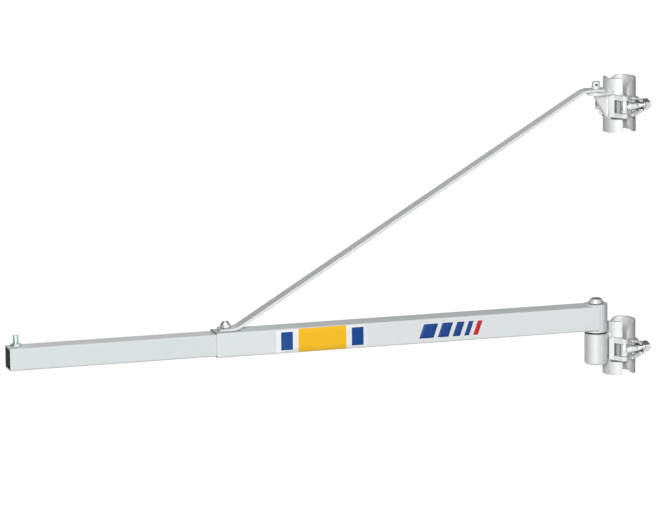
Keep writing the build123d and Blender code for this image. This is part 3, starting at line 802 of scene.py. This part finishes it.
def hexagon_head(across_flats, low, high, columns=72):
    """Hexagon head on the Z axis: the radius is the half width over the cosine of the angle from
    the nearest flat, and the corners of both ends are turned off at 30 degrees."""
    face_inset, bevel = 0.4 * mm, math.radians(30)
    angle = np.linspace(0, 2 * math.pi, columns, endpoint=False)
    sixth = math.pi / 3
    from_flat = np.mod(angle, sixth) - sixth / 2
    radius = across_flats / 2 / np.cos(from_flat)
    face_r = np.full(columns, across_flats / 2 - face_inset)
    drop = (radius - face_r) * math.tan(bevel)
    size = np.stack([face_r, radius, radius, face_r])
    height = np.stack([0 * drop + low, low + drop, high - drop, 0 * drop + high])
    points = np.stack([size * np.cos(angle), size * np.sin(angle), height], -1).reshape(-1, 3)
    return np.vstack([points, [[0, 0, low], [0, 0, high]]]), grid_faces(len(size), columns)


m10_r, m10_pitch, m10_flats, m10_head = 5 * mm, 1.5 * mm, 17 * mm, 6.4 * mm
screw_front, screw_back = (corner.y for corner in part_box("lock_screw"))
under_head = screw_back - screw_front - m10_head
in_head = 0.5 * mm
tip_points, tip_faces = threaded_shank(
    m10_r, m10_pitch, -under_head - in_head, -under_head, 0.0
)
tip_points[:, 1:] *= -1
screw_points, screw_faces = joined(
    [(tip_points, tip_faces), hexagon_head(m10_flats, under_head, under_head + m10_head)]
)
screw_points = np.stack([screw_points[:, 0], screw_points[:, 2], -screw_points[:, 1]], -1)
screw_points += lock_axis + [0, screw_front, 0]
lock = add_mesh("lock_bolt", screw_points, screw_faces, bright_zinc, "arm", "zinc")
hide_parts("lock_screw")

# Extension: a smaller square tube of the same finish that slides in the arm tube, open at the
# tip, with its top face painted paler as painted light. A hexagon bolt and nut with a
# green-tinted plating keep a hoist from sliding off.
extension_paint = silver_paint(
    "extension_paint", rough=0.58, metal=0.05,
    colour=(0.725, 0.760, 0.770, 1.0), shade=(0.700, 0.735, 0.745, 1.0),
)
# Painted light: the top face of the extension is paler.
top_painted_light, top_light_edge = (0.90, 0.92, 0.925, 1.0), (-1.5 * mm, -0.5 * mm)
tree = extension_paint.node_tree
over_top = middle_axes(tree, (0.0, 0.0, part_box("extension_tube")[1].z))["Z"]
cover(extension_paint, spread(tree, over_top, *top_light_edge), top_painted_light)
scale_and_shade_inside(extension_paint, "extension_tube", wall=2.5 * mm)
dress(["extension_tube"], extension_paint)
green_zinc = plated(
    "green_zinc", (0.70, 0.89, 0.82, 1.0), (0.60, 0.78, 0.71, 1.0), rough=0.26, metal=0.75
)
dress(["stop_nut"], green_zinc)
stop_low, stop_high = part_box("stop_bolt")
stop_axis = np.array([(stop_low.x + stop_high.x) / 2, (stop_low.y + stop_high.y) / 2, 0.0])
stop_seat, shank_lap = stop_low.z + m10_head, 1 * mm
stop_points, stop_faces = joined(
    [
        hexagon_head(m10_flats, stop_low.z, stop_seat),
        threaded_shank(
            m10_r, m10_pitch, stop_seat - shank_lap, stop_seat + shank_lap, stop_high.z
        ),
    ]
)
stop_points = stop_points + stop_axis
stop = add_mesh("stop_screw", stop_points, stop_faces, green_zinc, "extension", "zinc")
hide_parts("stop_bolt")

# Studio: a wide pale floor well under the arm, white to the camera but still taking the shadow,
# and clear from below. Tall dark flags at both sides, which the camera doesn't see, give the pale
# rounds their dark edges.
floor_z = -0.60
floor_half = 120.0
floor_grey, floor_glow = (0.30, 0.30, 0.30, 1.0), 0.845
flag_back, flag_top = 9.0, 5.0
plain_light = (1.0, 1.0, 1.0, 1.0)


def stage_sheet(name, corners):
    """Flat sheet of the studio between four corners."""
    mesh = bpy.data.meshes.new(name)
    mesh.from_pydata(np.array(corners, float), [], [(0, 1, 2, 3)])
    sheet = bpy.data.objects.new(name, mesh)
    bpy.context.scene.collection.objects.link(sheet)
    return sheet


floor_corners = np.array([[-1, -1, 0], [1, -1, 0], [1, 1, 0], [-1, 1, 0]]) * floor_half
floor = stage_sheet("floor", floor_corners + [0, 0, floor_z])
felt = bpy.data.materials.new("flag_felt")
felt.use_nodes = True
felt_face = felt.node_tree.nodes["Principled BSDF"].inputs
felt_face["Base Color"].default_value = (0.05, 0.05, 0.05, 1.0)
felt_face["Roughness"].default_value = 1.0
for name, flag_x, flag_front in (("left_flag", -1.7, -0.2), ("right_flag", 1.8, -1.0)):
    flag_corners = [
        [flag_x, flag_front, floor_z], [flag_x, flag_back, floor_z],
        [flag_x, flag_back, flag_top], [flag_x, flag_front, flag_top],
    ]
    flag = stage_sheet(name, flag_corners)
    flag.visible_camera = False
    flag.visible_shadow = False
    flag.data.materials.append(felt)


def seen_straight(tree):
    """One for a ray that comes from the camera itself, off a shiny face or through glass."""
    path = place(tree, "ShaderNodeLightPath").outputs
    shown = maths(tree, "MAXIMUM", path["Is Camera Ray"], path["Is Glossy Ray"])
    return maths(tree, "MAXIMUM", shown, path["Is Transmission Ray"])


paper = bpy.data.materials.new("studio_paper")
paper.use_nodes = True
tree = paper.node_tree
tree.nodes.clear()
matt = place(tree, "ShaderNodeBsdfDiffuse", Color=floor_grey)
glow = place(tree, "ShaderNodeEmission", Color=plain_light)
glow_strength = maths(tree, "MULTIPLY", seen_straight(tree), floor_glow)
tree.links.new(glow_strength, glow.inputs["Strength"])
both = place(tree, "ShaderNodeAddShader")
tree.links.new(matt.outputs[0], both.inputs[0])
tree.links.new(glow.outputs[0], both.inputs[1])
face_side = place(tree, "ShaderNodeNewGeometry")
clear = place(tree, "ShaderNodeBsdfTransparent")
one_sided = place(tree, "ShaderNodeMixShader")
tree.links.new(face_side.outputs["Backfacing"], one_sided.inputs[0])
tree.links.new(both.outputs[0], one_sided.inputs[1])
tree.links.new(clear.outputs[0], one_sided.inputs[2])
paper_out = place(tree, "ShaderNodeOutputMaterial")
tree.links.new(one_sided.outputs[0], paper_out.inputs["Surface"])
floor.data.materials.append(paper)

# Light: a dim surround that is a little brighter towards the front, a large soft lamp from the
# front left, and a second one from behind on the right for the rear.
lamp_size, front_power, back_power = 4.0, 1250.0, 1100.0
front_heading = (-0.33, -0.86, 0.39)
aside_limit, front_limit = 0.35, 0.9
aside_strength, front_strength = 0.07, 0.15
surround = bpy.data.worlds.new("surround")
bpy.context.scene.world = surround
surround.use_nodes = True
tree = surround.node_tree
tree.nodes.clear()
soft = place(tree, "ShaderNodeBackground", Color=(0.98, 0.99, 1.0, 1.0))
heading = place(tree, "ShaderNodeTexCoord")
facing = tree.nodes.new("ShaderNodeVectorMath")
facing.operation = "DOT_PRODUCT"
facing.inputs[1].default_value = front_heading
tree.links.new(heading.outputs["Generated"], facing.inputs[0])
soft_strength = spread(
    tree, facing.outputs["Value"], aside_limit, front_limit, aside_strength, front_strength
)
tree.links.new(soft_strength, soft.inputs["Strength"])
white = place(tree, "ShaderNodeBackground", Color=plain_light, Strength=1.0)
which = place(tree, "ShaderNodeMixShader")
tree.links.new(seen_straight(tree), which.inputs[0])
tree.links.new(soft.outputs[0], which.inputs[1])
tree.links.new(white.outputs[0], which.inputs[2])
world_out = place(tree, "ShaderNodeOutputWorld")
tree.links.new(which.outputs[0], world_out.inputs["Surface"])
aim = Vector((-0.5534, 0.0, 0.1968))


def soft_lamp(name, spot, power, mirrored=True):
    """Square area lamp of one power, turned to the middle of the arm, and seen in reflections or
    not."""
    lamp = bpy.data.lights.new(name, "AREA")
    lamp.size = lamp_size
    lamp.energy = power
    stand = bpy.data.objects.new(name, lamp)
    stand.location = spot
    stand.visible_camera = False
    stand.visible_glossy = mirrored
    stand.rotation_mode = "QUATERNION"
    stand.rotation_quaternion = (aim - Vector(spot)).to_track_quat("-Z", "Y")
    bpy.context.scene.collection.objects.link(stand)


soft_lamp("front_lamp", (-4.53, -10.38, 3.8), front_power)
soft_lamp("back_lamp", (4.8, 10.2, 2.4), back_power, mirrored=False)

# Camera: far off with a long lens, a little to the left of the arm and above it, rolled by half
# a degree.
camera_spot = Vector((-3.0709, -8.8088, 2.0449))
camera_roll = math.radians(-0.582)
camera = bpy.data.objects.new("camera", bpy.data.cameras.new("camera"))
camera.data.sensor_width = 36.0
camera.data.lens = 285.197
camera.data.clip_end = 400.0
back = (camera_spot - aim).normalized()
right = Vector((0.0, 0.0, 1.0)).cross(back).normalized()
up = back.cross(right)
rolled_right = math.cos(camera_roll) * right + math.sin(camera_roll) * up
rolled_up = back.cross(rolled_right)
camera.matrix_world = Matrix.Translation(camera_spot) @ Matrix(
    (rolled_right, rolled_up, back)
).transposed().to_4x4()
bpy.context.scene.collection.objects.link(camera)
bpy.context.scene.camera = camera
bpy.context.scene.view_settings.view_transform = "Standard"
